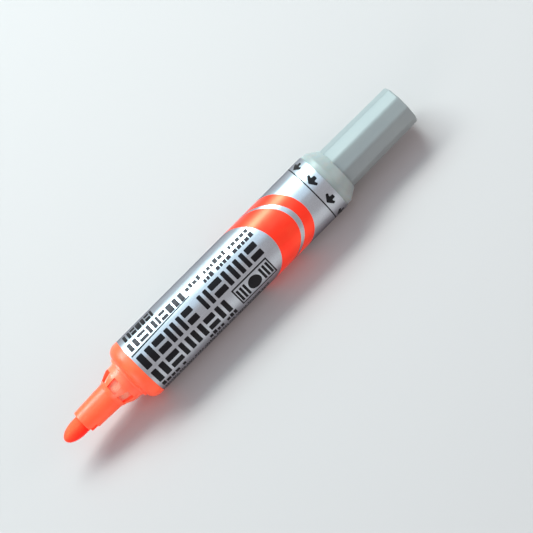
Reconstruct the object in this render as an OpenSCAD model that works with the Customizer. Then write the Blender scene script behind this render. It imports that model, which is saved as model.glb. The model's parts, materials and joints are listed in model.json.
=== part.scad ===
// Pump-action whiteboard marker, uncapped, lying on its side along X with the nib towards -X.
// Millimetres. The origin is under the middle of its length, on the surface that it lies on.
// Each piece is drawn upright, from the button's end face up to the nib, and lay() then lays it down.

/* [Lengths along the pen] */
// Pump button showing outside the rear collar
button_shown = 26; // [22:0.5:30]
// Cone of the rear collar
collar_cone = 3; // [2.5:0.1:3.5]
// Straight rim of the rear collar
collar_rim = 2; // [1.5:0.1:2.5]
// Barrel, and the label on it
barrel_len = 72.8; // [66:0.2:90]
// Domed front collar
front_collar_len = 4.2; // [3.8:0.1:5]
// Thin stop flange of the nib holder
flange_t = 0.7; // [0.5:0.1:1]
// Straight neck of the nib holder
neck_len = 2.8; // [2.4:0.1:3.6]
// Flare between neck and sleeve
flare_len = 4.3; // [3.8:0.1:4.8]
// Tapered sleeve around the nib
sleeve_len = 10.6; // [9:0.1:13]
// Nib showing outside the sleeve
nib_shown = 7.2; // [6:0.1:9]

/* [Radii] */
// Outside of the label
label_r = 9.5; // [9.5:0.05:9.7]
// Rim of the rear collar
rear_rim_r = 9.2; // [9.1:0.05:9.4]
// Corners of the ten-sided button where it enters the collar
button_r = 6.9; // [6.8:0.05:6.95]
// Corners of the button at its end face
button_end_r = 6.6; // [6.4:0.05:6.8]
// Stop flange of the nib holder
flange_r = 7; // [6.8:0.05:7.2]
// Neck of the nib holder
neck_r = 5.9; // [5.8:0.05:6.1]
// Sleeve where it meets the flare
sleeve_r = 4.2; // [4.1:0.05:4.4]
// Sleeve at its mouth
mouth_r = 3.8; // [3.6:0.05:4]
// Nib
nib_r = 2.7; // [2.5:0.05:2.7]

/* [Movement] */
// Travel of the pump button
pump_travel = 5; // [3:0.5:5]
// Lift of the ink valve
valve_lift = 1; // [0.6:0.1:1]

/* [Hidden] */
$fn = 64;

// Gaps between pieces
slip = 0.02;      // pieces pressed or clipped together
running = 0.05;   // pieces that slide on each other
stop_gap = 0.4;   // left at the end of a travel
cut = 1;          // how far a cutter passes through a face

// Heights of the upright pen, from the button's end face to the tip of the nib
z_collar = button_shown;
z_rim = z_collar + collar_cone;
z_barrel = z_rim + collar_rim;
z_front = z_barrel + barrel_len;
z_flange = z_front + front_collar_len;
z_neck = z_flange + flange_t;
z_flare = z_neck + neck_len;
z_sleeve = z_flare + flare_len;
z_mouth = z_sleeve + sleeve_len;
z_tip = z_mouth + nib_shown;

// Button
facets = 10;
facet_turn = 180 / facets;
button_bore_r = 5.3;
button_floor = 1.6;
button_round = 0.6;
button_lip_r = 7.45;
button_lip_t = 1.2;
z_lip = z_rim + running;
boss_r = 2.4;
boss_len = 7.4;
gate_r = 0.9;
gate_depth = 0.25;

// Pump cylinder and its gasket, clamped between the rear collar and a ledge in the barrel
cylinder_flange_t = 1.15;
gasket_t = 0.8;
z_cylinder = z_lip + button_lip_t + pump_travel + stop_gap;
z_ledge = z_cylinder + cylinder_flange_t + gasket_t;
cylinder_r = 5.2;
cylinder_bore_r = 4;
cylinder_floor_t = 1.5;

// Piston and its seal
rod_r = 1.5;
z_rod = 3;
piston_r = 3.85;
piston_len = 4.4;
z_piston = z_cylinder + 4.4;
seal_groove_r = 2.9;
seal_groove_w = 1.1;
z_seal = z_piston + piston_len / 2;

// Outlet valve
bulb_room = 2.1;
z_floor = z_piston + piston_len + pump_travel + bulb_room;
z_outlet = z_floor + cylinder_floor_t;
outlets = 4;
outlet_r = 0.5;
outlet_circle_r = 2.1;
umbrella_r = 3.1;
umbrella_t = 0.9;
umbrella_edge = 0.2;
umbrella_stem_r = 0.9;
bulb_r = 1.3;
bulb_len = 0.9;

// Rear collar
rim_round = 0.35;
guide_gap = 0.12;
guide_r = button_r + guide_gap;
collar_mouth_r = guide_r + 0.18;
lip_room_r = 7.6;

// Barrel and label
label_t = 0.1;
barrel_r = label_r - label_t - slip;
socket_r = 8.3;
reservoir_r = 7.7;
front_socket = 6.6;

// Front collar
dome_len = 3;
plug_r = 6.17;

// Nib holder
plug_len = 17.5;
z_plug = z_flange - plug_len;
lead_in = 0.4;
edge = 0.15;
step_ring_r = neck_r + 0.22;
step_ring_t = 0.6;
chamber_r = 5;
sponge_room_r = 4.7;
flare_bow = 0.4;  // share of an S-curve in the flare; the rest is a straight cone
flare_wall = 0.7;
sponge_room_end_r = sleeve_r - flare_wall;
nib_bore_r = 3;
windows = 7;
window_w = 3.2;
window_len = 3.3;
window_turn = 284.5;
z_window = z_flare - 0.5;
vent_w = 4.3;
vent_len = 2.5;
vent_turn = 244;
ribs = 5;
rib_w = 0.8;
rib_r = nib_r + slip;
rib_foot = 0.3;
rib_inset = 0.6;
rib_turn = vent_turn + 180 / ribs;
o_ring_r = 0.4;
o_ring_groove_r = 5.34;
o_ring_groove_w = 0.95;

// Ink valve, stacked from the plug's open end towards the nib
snap_lip_r = 4.8;
snap_lip_t = 0.4;
retainer_t = 1;
retainer_bore_r = 3.4;
bar_w = 0.8;
bar_t = 0.6;
seat_t = 1;
seat_hole_r = 1.7;
z_retainer = z_plug + snap_lip_t;
z_seat = z_retainer + retainer_t;
z_body = z_seat + seat_t;
body_len = 7.5;
body_wall_t = 1.2;
body_bore_r = 3.7;
z_body_top = z_body + body_len;
z_body_wall = z_body_top - body_wall_t;
z_groove = z_body_top + 0.6;
poppet_r = 2.7;
poppet_t = 0.9;
nose_r = 1.6;
nose_len = 0.8;
nose_edge = 0.3;
stem_r = 0.9;
stem_edge = 0.2;
z_head = z_body + slip;
z_stem_end = z_body_wall + 0.4;
flow_holes = 4;
flow_hole_r = 0.6;
flow_circle_r = 2.4;

// Sponge and nib
z_nib = z_stem_end + valve_lift + 0.6;
nib_tail_r = 2;
nib_shoulder_len = 0.7;
nib_nose_len = 5.5;
z_shoulder = z_sleeve - nib_shoulder_len;

// Springs
pump_coil_r = 4.6;
pump_wire_r = 0.35;
pump_turns = 13;
valve_coil_r = 1.9;
valve_wire_r = 0.18;
valve_turns = 5;
wire_sides = 6;
steps_per_turn = 16;

// A quarter of an ellipse from [x + rx, y] to [x, y + ry], about [x, y]
function quarter(x, y, rx, ry, n = 16) =
    [for (i = [0:n]) [x + rx * cos(90 * i / n), y + ry * sin(90 * i / n)]];

// The flare from neck to sleeve, with a smooth start and end
function flare_points(n = 20) = [for (i = [0:n])
    let (t = i / n, share = flare_bow * (1 - cos(180 * t)) / 2 + (1 - flare_bow) * t)
    [neck_r + (sleeve_r - neck_r) * share, z_flare + flare_len * t]];

// Lays an upright piece down: its up becomes -X, and its +X side comes to the top
module lay() {
    translate([z_tip / 2, 0, label_r]) rotate([0, -90, 0]) children();
}

// A solid or a hole of round section from height a to height b
module round_bar(r, a, b) {
    translate([0, 0, a]) cylinder(r = r, h = b - a);
}

// A straight bar with as many sides as the button, one of them turned to +X
module ten_sided_bar(r, a, b) {
    translate([0, 0, a]) rotate([0, 0, facet_turn]) cylinder(r = r, h = b - a, $fn = facets);
}

module turned(points) {
    rotate_extrude() polygon(points);
}

module ring(inner_r, outer_r, a, b) {
    difference() {
        round_bar(outer_r, a, b);
        round_bar(inner_r, a - cut, b + cut);
    }
}

module torus(r, section_r, z) {
    translate([0, 0, z]) rotate_extrude() translate([r, 0]) circle(r = section_r);
}

// Holes along the pen, evenly spaced on a circle
module hole_circle(count, circle_r, hole_r, a, b) {
    for (i = [0:count - 1])
        rotate([0, 0, 360 / count * (i + 0.5)]) translate([circle_r, 0, 0]) round_bar(hole_r, a, b);
}

// Height of the wire's middle above the spring's foot, t turns along it. The end turns are closed.
function wire_height(t, turns, wire_r, height) =
    let (closed = 2.2 * wire_r)
    let (open = (height - 2 * wire_r - 2 * closed) / (turns - 2))
    wire_r + closed * min(t, 1) + open * max(0, min(t, turns - 1) - 1) + closed * max(0, t - turns + 1);

// A compression spring from height a to height b: the wire's section swept along its helix
module spring(coil_r, wire_r, a, b, turns) {
    steps = turns * steps_per_turn;
    points = [for (i = [0:steps], k = [0:wire_sides - 1])
        let (turn = 360 * i / steps_per_turn, r = coil_r + wire_r * cos(360 * k / wire_sides))
        let (z = a + wire_height(i / steps_per_turn, turns, wire_r, b - a))
        [r * cos(turn), r * sin(turn), z + wire_r * sin(360 * k / wire_sides)]];
    sides = [for (i = [0:steps - 1], k = [0:wire_sides - 1])
        let (next = (k + 1) % wire_sides, low = i * wire_sides, high = low + wire_sides)
        [low + k, low + next, high + next, high + k]];
    foot = [for (k = [wire_sides - 1:-1:0]) k];
    head = [for (k = [0:wire_sides - 1]) steps * wire_sides + k];
    polyhedron(points = points, faces = concat(sides, [foot, head]));
}

// ---- Pump ----

// The ten-sided button, drafted towards its end face, whose rim is rounded
module button_outside() {
    side = button_r + cut;
    arc = quarter(button_end_r - button_round, -button_round, button_round, button_round);
    rim = [for (p = arc) [p[0], -p[1]]];
    intersection() {
        translate([0, 0, z_lip]) mirror([0, 0, 1])
            linear_extrude(height = z_lip, scale = button_end_r / button_r)
                rotate([0, 0, facet_turn]) circle(r = button_r, $fn = facets);
        turned(concat([[0, z_lip], [side, z_lip], [side, 4 * button_round]], rim, [[0, 0]]));
    }
}

module pump_button() {
    color([0.78, 0.84, 0.85]) lay() difference() {
        union() {
            button_outside();
            round_bar(button_lip_r, z_lip, z_lip + button_lip_t);
        }
        ring(boss_r, button_bore_r, button_floor, button_floor + boss_len);
        round_bar(button_bore_r, button_floor + boss_len, z_lip + button_lip_t + cut);
        round_bar(rod_r + slip, z_rod, button_floor + boss_len + cut);
        round_bar(gate_r, -cut, gate_depth);
    }
}

module pump_piston() {
    color([0.93, 0.93, 0.9]) lay() difference() {
        union() {
            round_bar(rod_r, z_rod + slip, z_piston + slip);
            round_bar(piston_r, z_piston, z_piston + piston_len);
        }
        ring(seal_groove_r, piston_r + cut, z_seal - seal_groove_w / 2, z_seal + seal_groove_w / 2);
    }
}

module piston_seal() {
    inner_r = seal_groove_r + slip;
    outer_r = cylinder_bore_r - running;
    color([0.13, 0.13, 0.14]) lay() torus((inner_r + outer_r) / 2, (outer_r - inner_r) / 2, z_seal);
}

module pump_spring() {
    color([0.75, 0.76, 0.78]) lay()
        spring(pump_coil_r, pump_wire_r, button_floor + slip, z_cylinder - slip, pump_turns);
}

module rear_collar() {
    spigot_r = socket_r - slip;
    z_spigot = z_cylinder - slip;
    z_seam = z_barrel - slip;
    color([0.74, 0.79, 0.76]) lay() difference() {
        turned([[0, z_collar], [collar_mouth_r, z_collar], [rear_rim_r - rim_round, z_rim - rim_round],
            [rear_rim_r - rim_round / 3, z_rim], [rear_rim_r, z_rim + rim_round],
            [rear_rim_r, z_seam], [spigot_r, z_seam], [spigot_r, z_spigot], [0, z_spigot]]);
        ten_sided_bar(guide_r, z_collar - cut, z_rim + cut);
        round_bar(lip_room_r, z_rim, z_spigot + cut);
    }
}

module pump_cylinder() {
    color([0.9, 0.91, 0.88]) lay() difference() {
        union() {
            round_bar(socket_r - slip, z_cylinder, z_cylinder + cylinder_flange_t);
            round_bar(cylinder_r, z_cylinder, z_outlet);
        }
        round_bar(cylinder_bore_r, z_cylinder - cut, z_floor);
        round_bar(umbrella_stem_r + slip, z_floor - cut, z_outlet + cut);
        hole_circle(outlets, outlet_circle_r, outlet_r, z_floor - cut, z_outlet + cut);
    }
}

module cylinder_gasket() {
    color([0.16, 0.16, 0.17]) lay()
        ring(cylinder_r + slip, socket_r - slip, z_ledge - gasket_t + slip, z_ledge - slip);
}

// A rubber umbrella valve: cap on the ink side, stem through the floor, bulb on the pump's side
module outlet_valve() {
    z_cap = z_outlet + slip;
    z_bulb = z_floor - slip;
    color([0.55, 0.1, 0.08]) lay() turned(concat(
        [[0, z_bulb - bulb_len], [umbrella_stem_r, z_bulb - bulb_len], [bulb_r, z_bulb - umbrella_edge],
            [bulb_r, z_bulb], [umbrella_stem_r, z_bulb], [umbrella_stem_r, z_cap], [umbrella_r, z_cap]],
        quarter(0, z_cap + umbrella_edge, umbrella_r, umbrella_t - umbrella_edge)));
}

// ---- Body ----

module barrel() {
    color([0.86, 0.88, 0.86]) lay() difference() {
        round_bar(barrel_r, z_barrel, z_front);
        round_bar(reservoir_r, z_barrel - cut, z_front + cut);
        round_bar(socket_r, z_barrel - cut, z_ledge);
        round_bar(socket_r, z_front - front_socket, z_front + cut);
    }
}

module label_sleeve() {
    color([0.8, 0.81, 0.84]) lay() ring(label_r - label_t, label_r, z_barrel, z_front);
}

// ---- Front ----

module front_collar() {
    spigot_r = socket_r - slip;
    z_spigot = z_front - front_socket + slip;
    z_seam = z_front + slip;
    color([1, 0.36, 0.2]) lay() difference() {
        turned(concat([[0, z_spigot], [spigot_r, z_spigot], [spigot_r, z_seam], [label_r, z_seam]],
            quarter(flange_r, z_flange - dome_len, label_r - flange_r, dome_len), [[0, z_flange]]));
        round_bar(plug_r + slip, z_spigot - cut, z_flange + cut);
    }
}

module nib_holder_outside() {
    z_stop = z_flange + slip;
    z_step = z_neck + step_ring_t;
    turned(concat([[0, z_plug], [plug_r - lead_in, z_plug], [plug_r, z_plug + lead_in], [plug_r, z_stop],
        [flange_r, z_stop], [flange_r, z_neck - edge], [flange_r - edge, z_neck], [step_ring_r, z_neck],
        [step_ring_r, z_step], [neck_r, z_step]], flare_points(),
        [[mouth_r, z_mouth - edge], [mouth_r - edge, z_mouth], [0, z_mouth]]));
}

// From the plug's open end: room for the ink valve, room for the sponge, which narrows with the flare,
// and the nib's bore
module nib_holder_inside() {
    z_stop = z_body_top + slip;
    turned([[0, z_plug - cut], [snap_lip_r, z_plug - cut], [snap_lip_r, z_retainer], [chamber_r, z_retainer],
        [chamber_r, z_stop], [sponge_room_r, z_stop], [sponge_room_r, z_flare], [sponge_room_end_r, z_sleeve],
        [nib_bore_r, z_sleeve], [nib_bore_r, z_mouth + cut], [0, z_mouth + cut]]);
}

// A bar of that width and length, from the axis outwards at that turn
module spoke(w, len, turn, z) {
    rotate([0, 0, turn]) translate([0, -w / 2, z]) cube([flange_r, w, len]);
}

// Ribs in the sleeve that grip the nib and leave air channels between them, clear of the vent
module nib_grip_ribs() {
    a = z_sleeve + rib_inset;
    b = z_mouth - rib_inset;
    intersection() {
        ring(rib_r, nib_bore_r + rib_foot, a, b);
        for (i = [0:ribs - 1]) spoke(rib_w, b - a, rib_turn + 360 / ribs * i, a);
    }
}

module nib_holder() {
    color([1, 0.38, 0.22]) lay() union() {
        difference() {
            nib_holder_outside();
            nib_holder_inside();
            ring(o_ring_groove_r, plug_r + cut, z_groove, z_groove + o_ring_groove_w);
            for (i = [0:windows - 1])
                spoke(window_w, window_len, window_turn + 360 / windows * i, z_window);
            spoke(vent_w, vent_len + cut, vent_turn, z_mouth - vent_len);
        }
        nib_grip_ribs();
    }
}

module holder_o_ring() {
    color([0.13, 0.13, 0.14]) lay()
        torus(o_ring_groove_r + slip + o_ring_r, o_ring_r, z_groove + o_ring_groove_w / 2);
}

module nib() {
    color([1, 0.22, 0.12]) lay() turned(concat(
        [[0, z_nib], [nib_tail_r, z_nib], [nib_tail_r, z_shoulder], [nib_r, z_sleeve]],
        quarter(0, z_tip - nib_nose_len, nib_r, nib_nose_len, 24)));
}

// Round the nib's tail, up to its shoulder. Its tapered end shows through the holder's windows.
module feed_sponge() {
    inner_r = nib_tail_r + slip;
    outer_r = sponge_room_r - slip;
    z_end = z_shoulder - slip;
    end_r = outer_r - (sponge_room_r - sponge_room_end_r) * (z_end - z_flare) / flare_len;
    color([0.98, 0.68, 0.58]) lay() turned([[inner_r, z_nib], [outer_r, z_nib], [outer_r, z_flare],
        [end_r, z_end], [inner_r, z_end]]);
}

// ---- Ink valve ----

module valve_body() {
    color([0.93, 0.93, 0.9]) lay() difference() {
        round_bar(chamber_r - slip, z_body + slip, z_body_top);
        round_bar(body_bore_r, z_body - cut, z_body_wall);
        round_bar(stem_r + running, z_body_wall - cut, z_body_top + cut);
        hole_circle(flow_holes, flow_circle_r, flow_hole_r, z_body_wall - cut, z_body_top + cut);
    }
}

module valve_seat() {
    color([0.13, 0.13, 0.14]) lay() ring(seat_hole_r, chamber_r - slip, z_seat + slip, z_body);
}

module valve_poppet() {
    z_nose = z_head - nose_len;
    z_back = z_head + poppet_t;
    color([0.85, 0.86, 0.83]) lay() turned([[0, z_nose], [nose_r - nose_edge, z_nose],
        [nose_r, z_nose + nose_edge], [nose_r, z_head], [poppet_r, z_head], [poppet_r, z_back],
        [stem_r, z_back], [stem_r, z_stem_end - stem_edge], [stem_r - stem_edge, z_stem_end],
        [0, z_stem_end]]);
}

module valve_spring() {
    color([0.75, 0.76, 0.78]) lay()
        spring(valve_coil_r, valve_wire_r, z_head + poppet_t + slip, z_body_wall - slip, valve_turns);
}

// A clip-in ring with a cross in its opening, which holds the rubber seat in place
module valve_retainer() {
    bar_len = 2 * retainer_bore_r + bar_w;
    color([0.93, 0.93, 0.9]) lay() union() {
        ring(retainer_bore_r, chamber_r - slip, z_retainer + slip, z_seat);
        for (turn = [0, 90]) rotate([0, 0, turn])
            translate([-bar_len / 2, -bar_w / 2, z_retainer + slip]) cube([bar_len, bar_w, bar_t]);
    }
}

pump_button();
pump_piston();
piston_seal();
pump_spring();
rear_collar();
pump_cylinder();
cylinder_gasket();
outlet_valve();
barrel();
label_sleeve();
front_collar();
nib_holder();
holder_o_ring();
nib();
feed_sponge();
valve_body();
valve_seat();
valve_poppet();
valve_spring();
valve_retainer();
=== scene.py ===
"""The looks of the whiteboard marker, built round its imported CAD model. Everything is in metres."""

import json
import math
import random

import bmesh
import bpy
from mathutils import Matrix, Vector


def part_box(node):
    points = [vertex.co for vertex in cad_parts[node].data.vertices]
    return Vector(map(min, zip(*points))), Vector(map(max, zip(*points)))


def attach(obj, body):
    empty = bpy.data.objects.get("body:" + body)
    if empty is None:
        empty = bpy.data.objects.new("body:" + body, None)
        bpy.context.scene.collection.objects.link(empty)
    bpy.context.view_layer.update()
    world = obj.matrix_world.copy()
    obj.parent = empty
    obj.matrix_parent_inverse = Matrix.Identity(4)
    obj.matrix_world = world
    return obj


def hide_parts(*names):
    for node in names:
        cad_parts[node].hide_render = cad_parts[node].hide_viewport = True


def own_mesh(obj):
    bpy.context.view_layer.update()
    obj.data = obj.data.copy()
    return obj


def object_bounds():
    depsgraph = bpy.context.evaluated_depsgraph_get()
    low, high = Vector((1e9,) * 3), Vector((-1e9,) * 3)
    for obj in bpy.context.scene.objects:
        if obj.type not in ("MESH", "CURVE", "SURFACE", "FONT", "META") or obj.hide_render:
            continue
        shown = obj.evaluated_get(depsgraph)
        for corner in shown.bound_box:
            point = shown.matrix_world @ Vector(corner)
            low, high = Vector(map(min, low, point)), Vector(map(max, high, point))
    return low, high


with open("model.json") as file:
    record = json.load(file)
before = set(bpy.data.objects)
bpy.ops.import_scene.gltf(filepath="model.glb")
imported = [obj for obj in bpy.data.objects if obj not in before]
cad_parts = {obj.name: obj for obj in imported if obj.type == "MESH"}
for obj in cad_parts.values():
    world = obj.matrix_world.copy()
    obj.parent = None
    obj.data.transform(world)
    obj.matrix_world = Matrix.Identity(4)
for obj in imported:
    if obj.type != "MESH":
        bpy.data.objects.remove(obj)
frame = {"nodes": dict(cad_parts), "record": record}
cad_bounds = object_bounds()
MM = 0.001

# The pen's axis runs along X. Turns about it are in degrees from the top, towards +Y.
LABEL_LOW, LABEL_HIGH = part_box("label_sleeve")
AXIS_Z = (LABEL_LOW.z + LABEL_HIGH.z) / 2
LABEL_R = (LABEL_HIGH.z - LABEL_LOW.z) / 2
TIP_X = cad_bounds[0].x

# The camera looks at the pen from its -Y side, this many degrees above the floor's plane
CAMERA_ELEVATION = 54
CAMERA_TURN = CAMERA_ELEVATION - 90


def on_pen(x, radius, turn):
    """A point at that distance from the pen's axis."""
    a = math.radians(turn)
    return Vector((x, radius * math.sin(a), AXIS_Z + radius * math.cos(a)))


def away(turn):
    """The direction away from the pen's axis at that turn."""
    return on_pen(0, 1, turn) - on_pen(0, 0, 0)


def standing(place, right, up, back):
    """The matrix of something at that place, with those axes."""
    return Matrix.Translation(place) @ Matrix((right, up, back)).transposed().to_4x4()


def rgb(r, g, b):
    return (r, g, b, 1.0)


# ---- Camera ----

CAMERA_DISTANCE = 546 * MM
CAMERA_FOOT = -2.8 * MM
VIEW_WIDTH = 149.6 * MM
AIM_ALONG = 7.6 * MM
AIM_BELOW = 5.41 * MM
AXIS_SLOPE = 45.1
SENSOR = 36


def make_camera():
    """A camera square to the pen, rolled so that the nib points down to the left."""
    place = on_pen(CAMERA_FOOT, 0, 0) + away(CAMERA_TURN).normalized() * CAMERA_DISTANCE
    aim = on_pen(AIM_ALONG, 0, 0) + away(CAMERA_TURN - 90).normalized() * AIM_BELOW
    back = (place - aim).normalized()
    along = (Vector((1, 0, 0)) - back * back.x).normalized()
    across = back.cross(along)
    slope = math.radians(AXIS_SLOPE)
    right = along * math.cos(slope) - across * math.sin(slope)
    up = along * math.sin(slope) + across * math.cos(slope)
    data = bpy.data.cameras.new("camera")
    data.sensor_width = SENSOR
    data.lens = SENSOR * CAMERA_DISTANCE / VIEW_WIDTH
    data.clip_start, data.clip_end = 0.01, 10
    camera = bpy.data.objects.new("camera", data)
    camera.matrix_world = standing(place, right, up, back)
    bpy.context.scene.collection.objects.link(camera)
    bpy.context.scene.camera = camera


# ---- Light and floor ----

WORLD_COLOUR = (0.97, 0.95, 0.98, 1)
WORLD_STRENGTH = 0.455
FLOOR_COLOUR = (0.485, 0.43, 0.425, 1)
FLOOR_ROUGHNESS = 0.9
FLOOR_REACH = 3.0


def panel(name, turn, distance, width, height, power, colour, along=0.0):
    """A soft light that faces the middle of the pen, at that turn about its axis."""
    data = bpy.data.lights.new(name, "AREA")
    data.shape = "RECTANGLE"
    data.size, data.size_y = width, height
    data.energy, data.color = power, colour
    light = bpy.data.objects.new(name, data)
    place = on_pen(along, distance, turn)
    back = (place - on_pen(0, 0, 0)).normalized()
    right = (Vector((1, 0, 0)) - back * back.x).normalized()
    light.matrix_world = standing(place, right, back.cross(right), back)
    bpy.context.scene.collection.objects.link(light)


def make_lights():
    """A long key light with a bright core and a wide blue halo, and fill from above and from both ends."""
    panel("key", turn=37, distance=0.75, width=0.9, height=0.34, power=6.8, colour=(0.74, 0.96, 0.95))
    panel("core", turn=34, distance=0.75, width=0.9, height=0.12, power=2.2, colour=(1.0, 1.0, 0.97))
    panel("halo", turn=37, distance=1.0, width=1.2, height=1.15, power=4.5, colour=(0.42, 0.84, 1.0))
    panel("top", turn=-12, distance=0.9, width=0.9, height=0.4, power=0.9, colour=(0.5, 0.8, 1.0))
    for side in (-1, 1):
        panel("end_fill", turn=-58, distance=0.6, width=0.6, height=0.6, power=2.9,
              colour=(1.0, 0.96, 0.94), along=0.9 * side)


def make_world():
    world = bpy.data.worlds.new("studio")
    world.use_nodes = True
    background = world.node_tree.nodes["Background"]
    background.inputs["Color"].default_value = WORLD_COLOUR
    background.inputs["Strength"].default_value = WORLD_STRENGTH
    bpy.context.scene.world = world
    bpy.context.scene.view_settings.view_transform = "Standard"


def make_floor():
    mesh = bpy.data.meshes.new("floor")
    corners = [(FLOOR_REACH * x, FLOOR_REACH * y, 0) for x, y in ((-1, -1), (1, -1), (1, 1), (-1, 1))]
    mesh.from_pydata(corners, [], [(0, 1, 2, 3)])
    floor = bpy.data.objects.new("floor", mesh)
    bpy.context.scene.collection.objects.link(floor)
    paint = bpy.data.materials.new("pale_floor")
    paint.use_nodes = True
    shader = paint.node_tree.nodes["Principled BSDF"]
    shader.inputs["Base Color"].default_value = FLOOR_COLOUR
    shader.inputs["Roughness"].default_value = FLOOR_ROUGHNESS
    mesh.materials.append(paint)


# ---- Materials ----

# Parts of a noise's values: most of them, and those near its middle
MOST = (0.3, 0.7)
MIDDLE = (0.35, 0.65)


class Paint:
    """A material whose colour, roughness and surface come from nodes in the row frame's own coordinates."""

    def __init__(self, name, **constants):
        self.material = bpy.data.materials.new(name)
        self.material.use_nodes = True
        self.tree = self.material.node_tree
        self.shader = self.tree.nodes["Principled BSDF"]
        self.place = self.tree.nodes.new("ShaderNodeTexCoord").outputs["Object"]
        for socket, value in constants.items():
            self.shader.inputs[socket.replace("_", " ")].default_value = value

    def node(self, kind, **inputs):
        made = self.tree.nodes.new("ShaderNode" + kind)
        for name, value in inputs.items():
            self.feed(made.inputs[name.replace("_", " ")], value)
        return made

    def feed(self, socket, value):
        if isinstance(value, bpy.types.NodeSocket):
            self.tree.links.new(value, socket)
        else:
            socket.default_value = value

    def noise(self, size, stretch=(1, 1, 1), detail=3.0):
        """Noise whose features are about size across, drawn out along the axes by stretch."""
        scaled = self.node("Mapping", Vector=self.place, Scale=[1 / s for s in stretch])
        made = self.node("TexNoise", Vector=scaled.outputs["Vector"], Scale=1 / size, Detail=detail)
        return made.outputs["Fac"]

    def ramp(self, value, low, high, out_low=0.0, out_high=1.0):
        """The value from low to high, turned into one from out_low to out_high."""
        made = self.node("MapRange", Value=value)
        made.inputs["From Min"].default_value = low
        made.inputs["From Max"].default_value = high
        made.inputs["To Min"].default_value = out_low
        made.inputs["To Max"].default_value = out_high
        return made.outputs["Result"]

    def along(self, direction):
        """The distance along a direction from the frame's origin."""
        made = self.node("VectorMath")
        made.operation = "DOT_PRODUCT"
        self.feed(made.inputs[0], self.place)
        made.inputs[1].default_value = direction
        return made.outputs["Value"]

    def blend(self, share, a, b):
        """Colour a where the share is 0, and b where it is 1."""
        made = self.tree.nodes.new("ShaderNodeMix")
        made.data_type = "RGBA"
        self.feed(made.inputs["Factor"], share)
        self.feed(made.inputs["A"], a)
        self.feed(made.inputs["B"], b)
        return made.outputs["Result"]

    def colour(self, value):
        self.feed(self.shader.inputs["Base Color"], value)

    def rough(self, value):
        self.feed(self.shader.inputs["Roughness"], value)

    def bump(self, *layers):
        """Each layer is (height, depth in metres)."""
        normal = None
        for height, depth in layers:
            made = self.node("Bump", Height=height, Distance=depth)
            if normal is not None:
                self.feed(made.inputs["Normal"], normal)
            normal = made.outputs["Normal"]
        self.feed(self.shader.inputs["Normal"], normal)


SCUFF_ROUGHNESS = 0.12


def moulded(name, light, dark, rough, thin_wall_and_highlight=None, **constants):
    """Injection-moulded plastic: faint flow marks, fine texture and handling scuffs. An optional paler end is
    (x of its start, x where it is thinnest, colour there); it is partly a thin wall and partly a painted
    highlight."""
    p = Paint(name, **constants)
    flow = p.noise(6 * MM, stretch=(3, 1, 1))
    grain = p.noise(0.12 * MM, detail=2.0)
    scuffs = p.ramp(p.noise(0.35 * MM, stretch=(9, 1, 1)), 0.62, 0.75)
    colour = p.blend(p.ramp(flow, *MIDDLE), dark, light)
    if thin_wall_and_highlight:
        start, thinnest, tint = thin_wall_and_highlight
        # Paler towards the thinnest x: partly a thin wall, partly a painted highlight.
        colour = p.blend(p.ramp(p.along((1, 0, 0)), start, thinnest), colour, tint)
    p.colour(colour)
    p.rough(p.ramp(scuffs, 0, 1, rough, rough + SCUFF_ROUGHNESS))
    p.bump((grain, 0.006 * MM), (flow, 0.02 * MM))
    return p.material


def silver_film():
    """Metallised film: fine grain, streaks along the pen and a faint swell."""
    p = Paint("silver_film", Metallic=1.0, Specular_Tint=rgb(0.2, 0.16, 0.2))
    grain = p.noise(0.16 * MM, detail=2.0)
    streaks = p.noise(0.5 * MM, stretch=(14, 1, 1))
    swell = p.noise(9 * MM, stretch=(2.5, 1, 1))
    p.colour(p.blend(p.ramp(grain, *MOST), rgb(0.54, 0.55, 0.59), rgb(0.70, 0.71, 0.75)))
    p.rough(p.ramp(streaks, *MOST, 0.30, 0.39))
    p.bump((grain, 0.004 * MM), (swell, 0.05 * MM))
    return p.material


def band_ink():
    """Orange ink that lets the film under it shine through, in faint clouds, with a painted red glow that
    lifts its shade side.
    """
    p = Paint("band_ink", Metallic=0.6, Coat_Weight=0.22, Coat_Roughness=0.3,
              Emission_Color=rgb(1.0, 0.01, 0.004), Emission_Strength=0.3)
    grain = p.noise(0.16 * MM, detail=2.0)
    clouds = p.noise(7 * MM, stretch=(1.6, 1, 1))
    p.colour(p.blend(p.ramp(clouds, *MIDDLE), rgb(1.0, 0.042, 0.013), rgb(1.0, 0.078, 0.026)))
    p.rough(p.ramp(grain, *MOST, 0.3, 0.4))
    p.bump((grain, 0.004 * MM))
    return p.material


def black_ink(name="black_ink", tone=1.0):
    """Black print. A tone above 1 makes it paler."""
    p = Paint(name, Specular_IOR_Level=0.2)
    grain = p.noise(0.1 * MM, detail=2.0)
    dark = rgb(0.004 * tone, 0.003 * tone, 0.004 * tone)
    light = rgb(0.010 * tone, 0.008 * tone, 0.011 * tone)
    p.colour(p.blend(p.ramp(grain, 0.35, 0.7), dark, light))
    p.rough(p.ramp(grain, *MOST, 0.34, 0.46))
    p.bump((grain, 0.003 * MM))
    return p.material


# Where painted shade darkens the nib's lower side: from and to, below the pen's axis as the camera sees it
NIB_PAINTED_SHADE = (-0.6 * MM, 2.0 * MM)


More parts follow.
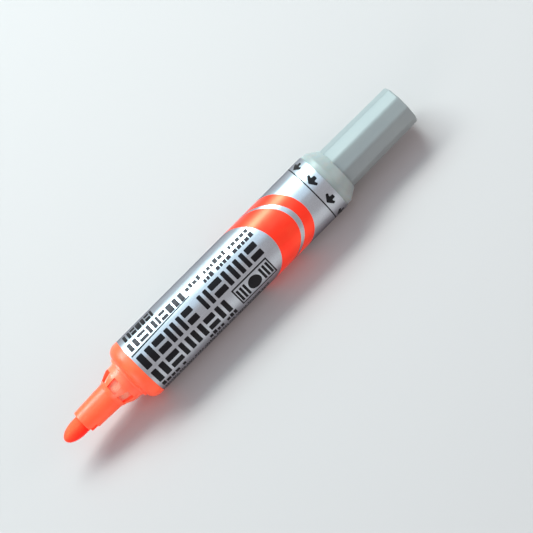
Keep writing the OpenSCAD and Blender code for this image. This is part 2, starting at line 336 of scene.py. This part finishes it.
def nib_fibre():
    """Compressed fibre with random ink-soaked patches, painted shade on its lower side and a painted red
    glow.
    """
    p = Paint("nib_fibre", Sheen_Weight=0.12, Specular_IOR_Level=0.2,
              # The red emission is a painted glow that lifts the nib's shade side.
              Emission_Color=rgb(1.0, 0.0, 0.0), Emission_Strength=0.32)
    fibres = p.noise(0.09 * MM, stretch=(14, 1, 1), detail=4.0)
    soak = p.noise(1.6 * MM, stretch=(2, 1, 1))
    dry = p.blend(p.ramp(fibres, *MIDDLE), rgb(0.88, 0.075, 0.024), rgb(1.0, 0.16, 0.055))
    soaked = p.blend(p.ramp(soak, 0.4, 0.7), dry, rgb(0.95, 0.09, 0.03))
    below = away(CAMERA_TURN - 90)
    axis = below.z * AXIS_Z
    painted_shade = p.ramp(p.along(below), axis + NIB_PAINTED_SHADE[0], axis + NIB_PAINTED_SHADE[1])
    # Painted shade: the lower side, as the camera sees it, turns dark red.
    p.colour(p.blend(painted_shade, soaked, rgb(0.95, 0.018, 0.006)))
    p.rough(p.ramp(fibres, *MOST, 0.75, 0.95))
    p.bump((fibres, 0.05 * MM))
    return p.material


def rubber(name, dark, light):
    p = Paint(name)
    grain = p.noise(0.2 * MM)
    p.colour(p.blend(grain, dark, light))
    p.rough(p.ramp(grain, *MOST, 0.6, 0.8))
    p.bump((grain, 0.01 * MM))
    return p.material


def sponge_fibre():
    p = Paint("sponge_fibre", Sheen_Weight=0.2)
    cells = p.noise(0.25 * MM, detail=4.0)
    p.colour(p.blend(p.ramp(cells, *MIDDLE), rgb(0.95, 0.26, 0.15), rgb(1.0, 0.46, 0.32)))
    p.rough(p.ramp(cells, *MOST, 0.8, 1.0))
    p.bump((cells, 0.1 * MM))
    return p.material


def drawn_wire():
    """Steel wire with fine drawing lines."""
    p = Paint("drawn_wire", Metallic=1.0)
    lines = p.noise(0.08 * MM, stretch=(1, 5, 5))
    p.colour(p.blend(lines, rgb(0.42, 0.42, 0.44), rgb(0.68, 0.68, 0.70)))
    p.rough(p.ramp(lines, *MOST, 0.22, 0.38))
    p.bump((lines, 0.004 * MM))
    return p.material


SILVER = silver_film()
BAND_INK = band_ink()
BLACK_INK = black_ink()
SOFT_INK = black_ink("soft_ink", tone=4.0)

# The holder is the collar's plastic. It is paler from its flare backwards, partly because its wall is thin
# there and partly from a painted highlight on the neck.
ORANGE_LOOK = dict(light=rgb(1.0, 0.15, 0.052), dark=rgb(1.0, 0.12, 0.04), IOR=1.5,
                   Subsurface_Weight=0.25, Subsurface_Scale=0.6 * MM,
                   # The red emission is a painted glow that lifts the orange plastic's shade side.
                   Emission_Color=rgb(1.0, 0.0, 0.0), Emission_Strength=0.28)
FLARE_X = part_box("front_collar")[0].x - 5 * MM
# The neck's paler colour: partly a thin wall, partly a painted highlight.
THIN_WALL_AND_HIGHLIGHT = (FLARE_X - 2.5 * MM, FLARE_X + 1.5 * MM, rgb(1.0, 0.2, 0.095))
ORANGE = moulded("ink_colour_plastic", rough=0.35, **ORANGE_LOOK)
HOLDER = moulded("holder_plastic", rough=0.29, thin_wall_and_highlight=THIN_WALL_AND_HIGHLIGHT, **ORANGE_LOOK)

MILKY = moulded("milky_plastic", light=rgb(0.352, 0.38, 0.37), dark=rgb(0.317, 0.345, 0.335), rough=0.29,
                Subsurface_Weight=0.3, Subsurface_Scale=1.5 * MM, IOR=1.49)
BUTTON = moulded("button_plastic", light=rgb(0.285, 0.305, 0.305), dark=rgb(0.265, 0.285, 0.29),
                 rough=0.42, IOR=1.47)
INNER = moulded("inner_plastic", light=rgb(0.86, 0.86, 0.81), dark=rgb(0.78, 0.78, 0.73), rough=0.4)
FIBRE = nib_fibre()
SPONGE = sponge_fibre()
BLACK_RUBBER = rubber("black_rubber", dark=rgb(0.02, 0.02, 0.022), light=rgb(0.05, 0.05, 0.052))
RED_RUBBER = rubber("red_rubber", dark=rgb(0.28, 0.03, 0.022), light=rgb(0.4, 0.05, 0.035))
WIRE = drawn_wire()

SLOT_PAINTS = {
    "button_plastic": BUTTON,
    "milky_plastic": MILKY,
    "inner_plastic": INNER,
    "silver_film": SILVER,
    "ink_colour_plastic": ORANGE,
    "nib_fibre": FIBRE,
    "sponge": SPONGE,
    "black_rubber": BLACK_RUBBER,
    "red_rubber": RED_RUBBER,
    "spring_steel": WIRE,
    "print_black": BLACK_INK,
    "print_ink_colour": BAND_INK,
}
NODE_PAINTS = {"nib_holder": HOLDER}


def paint_cad_nodes():
    for part in frame["record"]["subparts"]:
        node = frame["nodes"][part["node"]]
        node.data.materials.clear()
        node.data.materials.append(NODE_PAINTS.get(part["node"]) or SLOT_PAINTS[part["material_slot"]])


# ---- Meshes ----

SHARP = math.radians(35)


def piece(name, verts, faces, slot, body="pen", replaces=None, paint=None):
    """A mesh of the visual model that rides with a body, in its slot's paint unless another is given."""
    mesh = bpy.data.meshes.new(name)
    mesh.from_pydata(verts, [], faces)
    made = bmesh.new()
    made.from_mesh(mesh)
    bmesh.ops.recalc_face_normals(made, faces=made.faces)
    made.to_mesh(mesh)
    made.free()
    for face in mesh.polygons:
        face.use_smooth = True
    mesh.set_sharp_from_angle(angle=SHARP)
    mesh.materials.append(paint or SLOT_PAINTS[slot])
    obj = bpy.data.objects.new(name, mesh)
    bpy.context.scene.collection.objects.link(obj)
    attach(obj, body)
    if replaces:
        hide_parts(replaces)
    return obj


def rings_to_faces(count, around, closed):
    """Quads between rings of the same length, and from the last back to the first if closed."""
    faces = []
    for i in range(count if closed else count - 1):
        low, high = i * around, (i + 1) % count * around
        faces += [(low + k, low + (k + 1) % around, high + (k + 1) % around, high + k) for k in range(around)]
    return faces


def turned(outline, turns, radius=lambda r, turn: r):
    """The verts and faces of a shape turned about the pen's axis. The outline is (x, r) points. It ends
    on the axis where its first or last r is 0, and closes on itself otherwise."""
    rings = [p for p in outline if p[1] > 0]
    verts = [on_pen(x, radius(r, t), t) for x, r in rings for t in turns]
    around = len(turns)
    faces = rings_to_faces(len(rings), around, closed=outline[0][1] > 0 and outline[-1][1] > 0)
    for end, ring in ((outline[0], 0), (outline[-1], len(rings) - 1)):
        if end[1] == 0:
            verts.append(on_pen(end[0], 0, 0))
            tip = len(verts) - 1
            faces += [(tip, ring * around + k, ring * around + (k + 1) % around) for k in range(around)]
    return verts, faces


def even_turns(count):
    return [360 * k / count for k in range(count)]


# ---- Label ----

FILM = 0.033 * MM
OVERLAP_TURN = 128.0
OVERLAP_WIDTH = 19.0
SEAM_STEP = 0.25
INK = 0.012 * MM
PRINT_LOW = LABEL_R - FILM - INK / 2
PRINT_HIGH = PRINT_LOW + 2 * INK


def make_label():
    """The silver film, wrapped round the barrel, with its end lapped over its start at the back."""
    inner = LABEL_R - 3 * FILM
    ends = (OVERLAP_TURN, OVERLAP_TURN + OVERLAP_WIDTH)
    edges = [t + d for t in ends for d in (-SEAM_STEP, SEAM_STEP)]
    turns = sorted(set(even_turns(180) + edges))

    def radius(r, turn):
        over = ends[0] < turn < ends[1]
        return r if r == inner or over else r - FILM

    soft = 0.03 * MM
    low, high = LABEL_LOW.x, LABEL_HIGH.x
    outline = [(low, inner), (low, LABEL_R - soft), (low + soft, LABEL_R),
               (high - soft, LABEL_R), (high, LABEL_R - soft), (high, inner)]
    piece("label_film", *turned(outline, turns, radius), "silver_film", replaces="label_sleeve")


# ---- Printing on the label ----

# The artwork is flat, in (x, s). s runs down it, from the middle of what the camera sees.
PRINT_STEP = 0.4 * MM


def wrapped(x, s, radius):
    """A point of the flat artwork on the barrel."""
    return on_pen(x, radius, CAMERA_TURN - math.degrees(s / PRINT_HIGH))


def printed(name, outlines, slot="print_black", paint=None):
    """Flat outlines, wrapped round the label as thin closed layers of ink."""
    flat = bmesh.new()
    for outline in outlines:
        flat.faces.new([flat.verts.new((x, s, 0)) for x, s in outline])
    spread = [s for outline in outlines for _, s in outline]
    for i in range(math.floor(min(spread) / PRINT_STEP) + 1, math.ceil(max(spread) / PRINT_STEP)):
        geometry = list(flat.verts) + list(flat.edges) + list(flat.faces)
        bmesh.ops.bisect_plane(flat, geom=geometry, plane_co=(0, i * PRINT_STEP, 0),
                               plane_no=(0, 1, 0), dist=1e-7)
    bmesh.ops.triangulate(flat, faces=list(flat.faces))
    made = bmesh.ops.extrude_face_region(flat, geom=list(flat.faces), use_keep_orig=True)
    for v in made["geom"]:
        if isinstance(v, bmesh.types.BMVert):
            v.co.z = 1
    verts = [wrapped(v.co.x, v.co.y, PRINT_HIGH if v.co.z > 0.5 else PRINT_LOW) for v in flat.verts]
    flat.verts.index_update()
    # Sorted, because the order that bmesh gives its faces changes from run to run
    faces = sorted([v.index for v in f.verts] for f in flat.faces)
    flat.free()
    piece(name, verts, faces, slot, paint=paint)


def ring_band(name, front, rear, slot, count=240):
    """Ink all the way round the label between two edges, each given as x for a turn down from the middle."""
    verts = []
    for k in range(count):
        down = 360 * k / count
        for x, r in ((front(down), PRINT_LOW), (front(down), PRINT_HIGH),
                     (rear(down), PRINT_HIGH), (rear(down), PRINT_LOW)):
            verts.append(on_pen(x, r, CAMERA_TURN - down))
    piece(name, verts, rings_to_faces(count, 4, closed=True), slot)


# A corner's rounding takes up no more than this share of each of its sides
ROUNDED_SHARE = 0.48


def rounded(points, radius, steps=4):
    """The outline with each corner rounded."""
    result = []
    count = len(points)
    for i in range(count):
        before, here, after = Vector(points[i - 1]), Vector(points[i]), Vector(points[(i + 1) % count])
        a, b = (before - here).normalized(), (after - here).normalized()
        half = a.angle(b) / 2
        shorter = min((before - here).length, (after - here).length)
        reach = min(radius / math.tan(half), shorter * ROUNDED_SHARE)
        bend = reach * math.tan(half)
        centre = here + (a + b).normalized() * (bend / math.sin(half))
        start, end = here + a * reach - centre, here + b * reach - centre
        sweep = start.angle_signed(end)
        for k in range(steps + 1):
            turned_by = -sweep * k / steps
            c, s = math.cos(turned_by), math.sin(turned_by)
            result.append((centre.x + start.x * c - start.y * s, centre.y + start.x * s + start.y * c))
    return result


def oblong(x, top, width, height):
    return [(x, top), (x + width, top), (x + width, top + height), (x, top + height)]


def block(x, top, width, height, radius):
    return rounded(oblong(x, top, width, height), radius, steps=3)


def split_block(x, top, width, height, radius, slit, upright):
    """Two plain bars, side by side or one above the other, with a slit between them."""
    if upright:
        bar = (width - slit) / 2
        return [block(x + d, top, bar, height, radius) for d in (0, bar + slit)]
    bar = (height - slit) / 2
    return [block(x, top + d, width, bar, radius) for d in (0, bar + slit)]


def row_of_blocks(x, top, height, gap, slit, widths, radius=0.25 * MM):
    """Plain bars that stand where a row of large letters would. The widths are in millimetres, and one
    below 0 is a space."""
    made = []
    for i, width in enumerate(widths):
        if width * MM > 3 * slit:
            made += split_block(x, top, width * MM, height, radius, slit, upright=i % 3 != 1)
        elif width > 0:
            made.append(block(x, top, width * MM, height, radius))
        x += abs(width) * MM + (gap if width > 0 else 0)
    return made


# Small print. Lengths are shares of its height.
WORD_BARS = (3, 8)
BAR_WIDTHS = (0.5, 0.85)
TALL_BARS = 0.3
SHORT_BAR_TOP = 0.28
BAR_GAP = 0.2
WORD_GAP = 0.75


def small_print(x, end, top, height, seed):
    """Tiny plain bars that stand where a line of small text would, some of them at full height."""
    pick = random.Random(seed)
    made = []
    left = pick.randint(*WORD_BARS)
    while x < end:
        width = height * pick.uniform(*BAR_WIDTHS)
        bar_top = top if pick.random() < TALL_BARS else top + height * SHORT_BAR_TOP
        made.append(oblong(x, bar_top, width, top + height - bar_top))
        left -= 1
        x += width + height * (BAR_GAP if left else WORD_GAP)
        left = left or pick.randint(*WORD_BARS)
    return made


def arrow(x, s):
    """A stubby arrow towards the nib, with its middle at (x, s)."""
    upper = [(-0.1, -2.05), (0.62, -1.75), (0.1, -0.62), (1.35, -0.62)]
    outline = [(-1.45, 0)] + upper + [(a, -b) for a, b in reversed(upper)]
    return rounded([(x + a * MM, s + b * MM) for a, b in outline], 0.3 * MM)


def slanted(middle, swing, turn=6.2):
    """An edge cut by a slanted plane, as x for a turn down. Its middle is that far behind the tip and it
    swings that far to each side of it, in millimetres, furthest back at that turn."""
    return lambda down: TIP_X + (middle + swing * math.cos(math.radians(down - turn))) * MM


def make_bands():
    ring_band("band_wide", slanted(middle=72.66, swing=8.14), slanted(middle=78.71, swing=10.01),
              "print_ink_colour")
    ring_band("band_narrow", slanted(middle=79.67, swing=10.62), slanted(middle=85.67, swing=7.81),
              "print_ink_colour")


ARROWS = 8
# The place of the first, in pitches down from the middle of what the camera sees
FIRST_ARROW = -0.35


def make_arrows():
    """A thin ring, and behind it a row of arrows all the way round."""
    line = LABEL_HIGH.x - 4.7 * MM
    half = 0.18 * MM
    ring_band("print_ring", lambda down: line - half, lambda down: line + half, "print_black")
    middle = LABEL_HIGH.x - 2.6 * MM
    pitch = PRINT_HIGH * math.radians(360 / ARROWS)
    printed("print_arrows", [arrow(middle, pitch * (i + FIRST_ARROW)) for i in range(ARROWS)])


# Where the rows start
MARGIN_X = LABEL_LOW.x + 1.02 * MM


def make_heavy_print():
    """Two rows of large bars, the rule above them and the small row at the label's top edge."""
    heavy = row_of_blocks(MARGIN_X, top=-2.4 * MM, height=4.7 * MM, gap=0.75 * MM, slit=0.95 * MM,
                          widths=[5.2, 3.9, 1.5, 3.7, 3.4, -2.0, 3.6, 4.2, 3.9, 3.8, 3.8])
    heavy += row_of_blocks(MARGIN_X, top=3.45 * MM, height=4.65 * MM, gap=0.8 * MM, slit=0.95 * MM,
                           widths=[4.8, 4.2, 3.9, 4.2, 3.6, 4.0])
    rule_x = MARGIN_X - 0.6 * MM
    rule_end = rule_x + 23.2 * MM
    heavy.append([(rule_x, -3.65 * MM), (rule_end, -4.4 * MM), (rule_end, -4.1 * MM), (rule_x, -3.2 * MM)])
    heavy += row_of_blocks(MARGIN_X + 0.8 * MM, top=-11.9 * MM, height=3.5 * MM, gap=0.25 * MM,
                           slit=0.6 * MM, widths=[2.6, 1.8, 1.7, 1.2, 1.8, 0.8], radius=0.3 * MM)
    printed("print_heavy", heavy)


def make_soft_print():
    """The paler row above the rule, with two lines of small print beside it."""
    top = -7.3 * MM
    soft = row_of_blocks(MARGIN_X + 0.3 * MM, top, height=2.9 * MM, gap=0.45 * MM, slit=0.7 * MM,
                         widths=[3.5, 3.0, 3.1, 0.9, 2.3, 2.0, 3.7])
    end = TIP_X + 77.0 * MM
    soft += small_print(TIP_X + 53.6 * MM, end, top, height=1.75 * MM, seed=1)
    soft += small_print(TIP_X + 59.0 * MM, end, top=-5.1 * MM, height=1.6 * MM, seed=2)
    printed("print_soft", soft, paint=SOFT_INK)


FINE_PRINT = 0.85 * MM


def make_print_lines():
    """Two short lines at the label's lower edge, two fine ones below them and six on the underside."""
    top, height = 8.75 * MM, 1.8 * MM
    lines = small_print(MARGIN_X, MARGIN_X + 9.0 * MM, top, height, seed=3)
    lines += small_print(MARGIN_X + 18.6 * MM, MARGIN_X + 28.9 * MM, top, height, seed=4)
    for i in range(2):
        lines += small_print(MARGIN_X, MARGIN_X + 40.5 * MM, (11.3 + 1.3 * i) * MM, FINE_PRINT, seed=5 + i)
    for i in range(6):
        end = MARGIN_X + (38 - 5 * (i % 3)) * MM
        lines += small_print(MARGIN_X + 2 * MM, end, (18.5 + 1.7 * i) * MM, FINE_PRINT, seed=8 + i)
    printed("print_lines", lines)


def make_emblem():
    """A plain framed disc between upright bars."""
    x, top, width, height = TIP_X + 62.4 * MM, 3.3 * MM, 13.4 * MM, 6.6 * MM
    line = 0.45 * MM
    inside = height - 2 * line
    made = [oblong(x, top, width, line), oblong(x, top + height - line, width, line),
            oblong(x, top + line, line, inside), oblong(x + width - line, top + line, line, inside)]
    middle_x, middle_s, disc_r = x + width * 0.5, top + height / 2, 2.2 * MM
    made.append([(middle_x + disc_r * math.cos(a), middle_s + disc_r * math.sin(a))
                 for a in [math.radians(t) for t in even_turns(40)]])
    bar, first, pitch = 0.8 * MM, 3.1, 1.25
    for side in (-1, 1):
        for k in range(3):
            bar_x = middle_x + side * (first + pitch * k) * MM - bar / 2
            made.append(block(bar_x, middle_s - disc_r, bar, 2 * disc_r, radius=0.2 * MM))
    printed("print_emblem", made)


# ---- Button ----

FACETS = 10
FACET = 360 / FACETS
CORNER_R = 1.8 * MM
# Half of a flat, and the steps along it and round a corner, in degrees
FLAT_TURN = 13.2
FLAT_STEP = 4.5
CORNER_STEP = 1.2


def facet_turns():
    """Turns that are close together round each corner and further apart on each flat."""
    within = [-FLAT_TURN] + [FLAT_STEP * k for k in range(-2, 3)]
    within += [FLAT_TURN + CORNER_STEP * k for k in range(8)]
    return sorted((FACET * i + t) % 360 for i in range(FACETS) for t in within)


def ten_sided(corner, turn):
    """The radius at that turn of a ten-sided section with rounded corners and a flat on top. It would
    reach the corner radius if its corners were sharp."""
    half = math.radians(FACET / 2)
    flat = corner * math.cos(half)
    a = math.radians((turn + FACET / 2) % FACET - FACET / 2)
    soft_flat = flat - CORNER_R
    edge = math.atan2(soft_flat * math.tan(half), flat)
    if abs(a) <= edge:
        return flat / math.cos(a)
    centre = soft_flat / math.cos(half)
    b = half - abs(a)
    return centre * math.cos(b) + math.sqrt(CORNER_R ** 2 - (centre * math.sin(b)) ** 2)


def make_button():
    """A hollow button: a round lip, ten tapering sides, a dimple in the end and a boss for the rod inside."""
    low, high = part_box("pump_button")
    end = high.x
    lip_r, lip_x = (high.z - low.z) / 2, low.x + 1.2 * MM
    corner, end_corner = 6.9 * MM, 6.6 * MM
    soft = 0.6 * MM
    taper = end - soft - lip_x
    bore, floor_x = 5.3 * MM, end - 1.6 * MM
    boss, boss_x = 2.4 * MM, end - 9.0 * MM
    rod, rod_x = 1.52 * MM, end - 3.0 * MM
    dimple, dimple_depth = 0.95 * MM, 0.22 * MM

    def section(x):
        return corner + (end_corner - corner) * (x - lip_x) / (end - lip_x)

    outline = [(rod_x, 0), (rod_x, rod), (boss_x, rod), (boss_x, boss), (floor_x, boss), (floor_x, bore),
               (low.x, bore), (low.x, lip_r), (lip_x, lip_r), (lip_x, corner)]
    outline += [(x, section(x)) for x in [lip_x + taper * i / 6 for i in range(1, 7)]]
    rim = section(end - soft)
    outline += [(end - soft + soft * math.sin(a), rim - soft + soft * math.cos(a))
                for a in [math.radians(15 * i) for i in range(1, 7)]]
    outline += [(end, rim - soft - 0.4 * MM), (end, dimple), (end - dimple_depth, dimple - 0.1 * MM),
                (end - dimple_depth, 0)]

    def radius(r, turn):
        return ten_sided(r, turn) if bore < r <= corner else r

    piece("push_button", *turned(outline, facet_turns(), radius), "button_plastic", body="plunger",
          replaces="pump_button")


# ---- Nib and springs ----

NIB_NOSE = 5.5 * MM
NIB_GRIP = 10.6 * MM
NIB_SHOULDER = 0.7 * MM
NIB_TAIL_R = 1.98 * MM
NIB_TAIL_CHAMFER = 0.3 * MM
NIB_INSET = 0.02 * MM


def make_nib():
    """A bullet nose, the straight part that the sleeve grips, a shoulder and the thin tail in the sponge."""
    low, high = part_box("nib")
    radius = (high.z - low.z) / 2 - NIB_INSET
    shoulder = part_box("nib_holder")[0].x + NIB_GRIP
    outline = [(low.x + NIB_INSET / 2, 0)]
    outline += [(low.x + NIB_NOSE * (1 - math.cos(a)), radius * math.sin(a))
                for a in [math.radians(d) for d in range(4, 93, 4)]]
    outline += [(shoulder, radius), (shoulder + NIB_SHOULDER, NIB_TAIL_R),
                (high.x - NIB_TAIL_CHAMFER, NIB_TAIL_R), (high.x, NIB_TAIL_R - NIB_TAIL_CHAMFER), (high.x, 0)]
    piece("fibre_nib", *turned(outline, even_turns(96)), "nib_fibre", replaces="nib")


# The pitch of a spring's closed end turns, in radii of its wire
CLOSED_PITCH = 2.2


def make_spring(name, node, turns, wire, sides=10, steps=32):
    """A compression spring with closed ends. wire is its wire's radius."""
    low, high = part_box(node)
    coil = (high.z - low.z) / 2 - wire
    length = high.x - low.x - 2 * wire
    closed = CLOSED_PITCH * wire
    opened = (length - 2 * closed) / (turns - 2)
    count = turns * steps + 1
    verts = []
    for i in range(count):
        t = i / steps
        along = closed * min(t, 1) + opened * max(0, min(t, turns - 1) - 1) + closed * max(0, t - turns + 1)
        middle = high.x - wire - along
        for k in range(sides):
            a = 2 * math.pi * k / sides
            verts.append(on_pen(middle + wire * math.sin(a), coil + wire * math.cos(a), 360 * t))
    faces = rings_to_faces(count, sides, closed=False)
    faces += [tuple(range(sides)), tuple(range((count - 1) * sides, count * sides))]
    made = piece(name, verts, faces, "spring_steel", replaces=node)
    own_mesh(made)


make_camera()
make_lights()
make_world()
make_floor()
paint_cad_nodes()
make_label()
make_bands()
make_arrows()
make_heavy_print()
make_soft_print()
make_print_lines()
make_emblem()
make_button()
make_nib()
make_spring("pump_coil", "pump_spring", turns=13, wire=0.35 * MM)
make_spring("valve_coil", "valve_spring", turns=5, wire=0.18 * MM)
